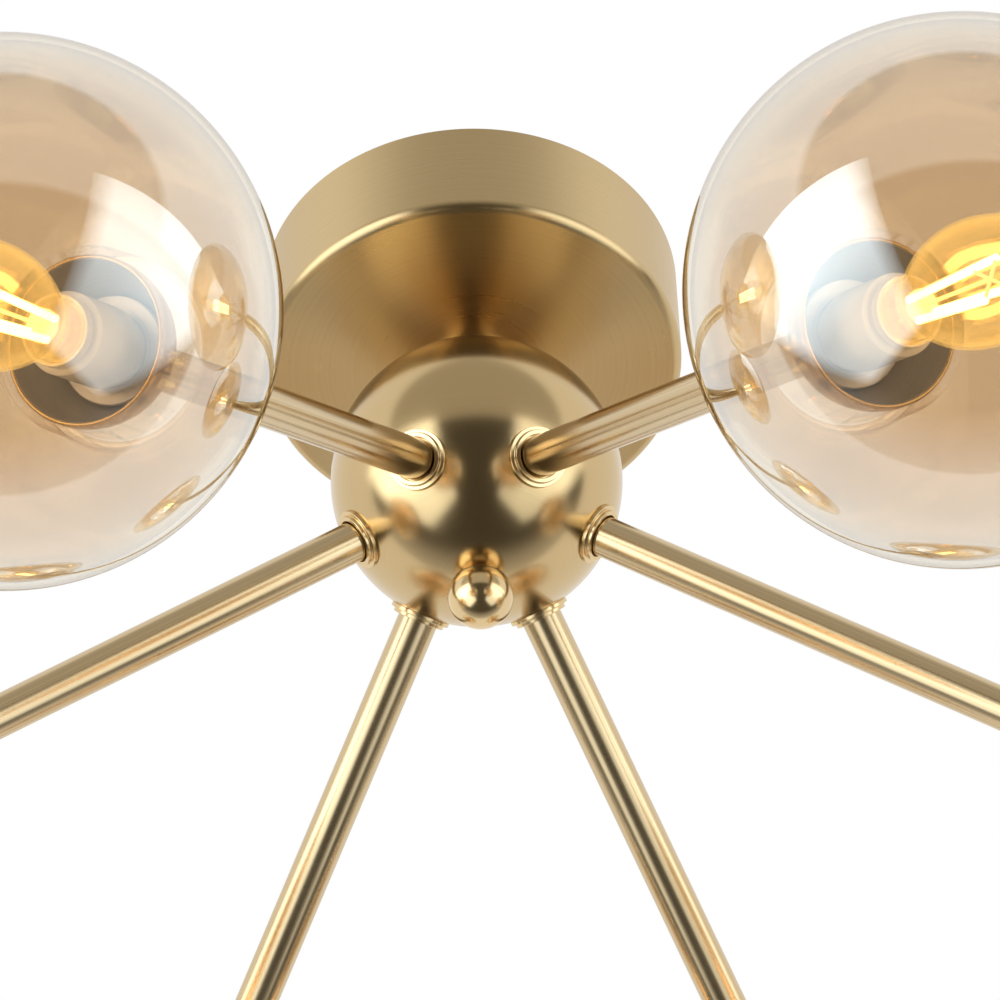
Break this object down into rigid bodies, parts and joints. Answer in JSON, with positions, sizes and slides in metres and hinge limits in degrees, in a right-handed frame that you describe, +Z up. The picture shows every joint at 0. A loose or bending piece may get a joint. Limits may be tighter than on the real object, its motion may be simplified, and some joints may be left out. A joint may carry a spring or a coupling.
{
  "type": "semi-flush ceiling light",
  "caption": "Semi-flush ceiling light: a round canopy, a ball hub and drooping straight arms, each ending in a cup inside a clear amber glass globe with a candle bulb.",
  "frame": {"origin": "centre of the canopy, on the ceiling", "axes": "+Z up, out of the ceiling face; +X along the first arm and the bracket's slots"},
  "size_m": [0.62, 0.5558, 0.326],
  "materials": {
    "satin_gold": "satin champagne gold",
    "brushed_gold": "brushed lengthwise, champagne gold",
    "polished_gold": "polished champagne gold",
    "cup_gold": "satin outside, bright inside",
    "bracket_steel": "zinc plated",
    "screw_brass": "plain",
    "block_plastic": "moulded",
    "lead_insulation": "smooth sleeve",
    "holder_white": "white, smooth",
    "bulb_collar": "pale collar over a metal screw cap",
    "bulb_glass": "clear, warm tint",
    "filament_glow": "glowing filament rods",
    "amber_glass": "clear amber, half mirrored"
  },
  "bodies": {
    "light_frame": {"mounting_bracket": "bracket_steel", "terminal_block": "block_plastic", "earth_screw": "screw_brass", "threaded_stem": "bracket_steel", "upper_stem_nut": "bracket_steel", "lower_stem_nut": "bracket_steel", "hub_lock_nut": "bracket_steel", "canopy": "satin_gold", "neck_collar": "satin_gold", "hub_ball": "satin_gold", "arm_collars": "satin_gold", "cup_ring_nuts": "bracket_steel", "wiring_leads": "lead_insulation", "arm_1": "brushed_gold", "arm_2": "brushed_gold", "arm_3": "brushed_gold", "arm_4": "brushed_gold", "arm_5": "brushed_gold", "arm_6": "brushed_gold", "lamp_cup_1": "cup_gold", "lamp_cup_2": "cup_gold", "lamp_cup_3": "cup_gold", "lamp_cup_4": "cup_gold", "lamp_cup_5": "cup_gold", "lamp_cup_6": "cup_gold", "lampholder_1": "holder_white", "lampholder_2": "holder_white", "lampholder_3": "holder_white", "lampholder_4": "holder_white", "lampholder_5": "holder_white", "lampholder_6": "holder_white"},
    "finial_ball": {"finial": "polished_gold"},
    "glass_shade_1": {"globe_1": "amber_glass"},
    "glass_shade_2": {"globe_2": "amber_glass"},
    "glass_shade_3": {"globe_3": "amber_glass"},
    "glass_shade_4": {"globe_4": "amber_glass"},
    "glass_shade_5": {"globe_5": "amber_glass"},
    "glass_shade_6": {"globe_6": "amber_glass"},
    "lamp_bulb_1": {"bulb_cap_1": "bulb_collar", "bulb_glass_1": "bulb_glass", "bulb_filament_1": "filament_glow"},
    "lamp_bulb_2": {"bulb_cap_2": "bulb_collar", "bulb_glass_2": "bulb_glass", "bulb_filament_2": "filament_glow"},
    "lamp_bulb_3": {"bulb_cap_3": "bulb_collar", "bulb_glass_3": "bulb_glass", "bulb_filament_3": "filament_glow"},
    "lamp_bulb_4": {"bulb_cap_4": "bulb_collar", "bulb_glass_4": "bulb_glass", "bulb_filament_4": "filament_glow"},
    "lamp_bulb_5": {"bulb_cap_5": "bulb_collar", "bulb_glass_5": "bulb_glass", "bulb_filament_5": "filament_glow"},
    "lamp_bulb_6": {"bulb_cap_6": "bulb_collar", "bulb_glass_6": "bulb_glass", "bulb_filament_6": "filament_glow"}
  },
  "joints": [
    {"name": "finial_turn", "type": "hinge", "parent": "light_frame", "child": "finial_ball", "pos_m": [0, 0, -0.1384], "axis": [0, 0, 1], "continuous": true},
    {"name": "glass_shade_1_turn", "type": "hinge", "parent": "light_frame", "child": "glass_shade_1", "pos_m": [0.24001, 0, -0.25606], "axis": [0.8192, 0, -0.5736], "continuous": true},
    {"name": "glass_shade_2_turn", "type": "hinge", "parent": "light_frame", "child": "glass_shade_2", "pos_m": [0.12001, 0.20786, -0.25606], "axis": [0.4096, 0.7094, -0.5736], "continuous": true},
    {"name": "glass_shade_3_turn", "type": "hinge", "parent": "light_frame", "child": "glass_shade_3", "pos_m": [-0.12001, 0.20786, -0.25606], "axis": [-0.4096, 0.7094, -0.5736], "continuous": true},
    {"name": "glass_shade_4_turn", "type": "hinge", "parent": "light_frame", "child": "glass_shade_4", "pos_m": [-0.24001, 0, -0.25606], "axis": [-0.8192, 0, -0.5736], "continuous": true},
    {"name": "glass_shade_5_turn", "type": "hinge", "parent": "light_frame", "child": "glass_shade_5", "pos_m": [-0.12001, -0.20786, -0.25606], "axis": [-0.4096, -0.7094, -0.5736], "continuous": true},
    {"name": "glass_shade_6_turn", "type": "hinge", "parent": "light_frame", "child": "glass_shade_6", "pos_m": [0.12001, -0.20786, -0.25606], "axis": [0.4096, -0.7094, -0.5736], "continuous": true},
    {"name": "lamp_bulb_1_turn", "type": "hinge", "parent": "light_frame", "child": "lamp_bulb_1", "pos_m": [0.21462, 0, -0.23828], "axis": [0.8192, 0, -0.5736], "continuous": true},
    {"name": "lamp_bulb_2_turn", "type": "hinge", "parent": "light_frame", "child": "lamp_bulb_2", "pos_m": [0.10731, 0.18586, -0.23828], "axis": [0.4096, 0.7094, -0.5736], "continuous": true},
    {"name": "lamp_bulb_3_turn", "type": "hinge", "parent": "light_frame", "child": "lamp_bulb_3", "pos_m": [-0.10731, 0.18586, -0.23828], "axis": [-0.4096, 0.7094, -0.5736], "continuous": true},
    {"name": "lamp_bulb_4_turn", "type": "hinge", "parent": "light_frame", "child": "lamp_bulb_4", "pos_m": [-0.21462, 0, -0.23828], "axis": [-0.8192, 0, -0.5736], "continuous": true},
    {"name": "lamp_bulb_5_turn", "type": "hinge", "parent": "light_frame", "child": "lamp_bulb_5", "pos_m": [-0.10731, -0.18586, -0.23828], "axis": [-0.4096, -0.7094, -0.5736], "continuous": true},
    {"name": "lamp_bulb_6_turn", "type": "hinge", "parent": "light_frame", "child": "lamp_bulb_6", "pos_m": [0.10731, -0.18586, -0.23828], "axis": [0.4096, -0.7094, -0.5736], "continuous": true}
  ]
}
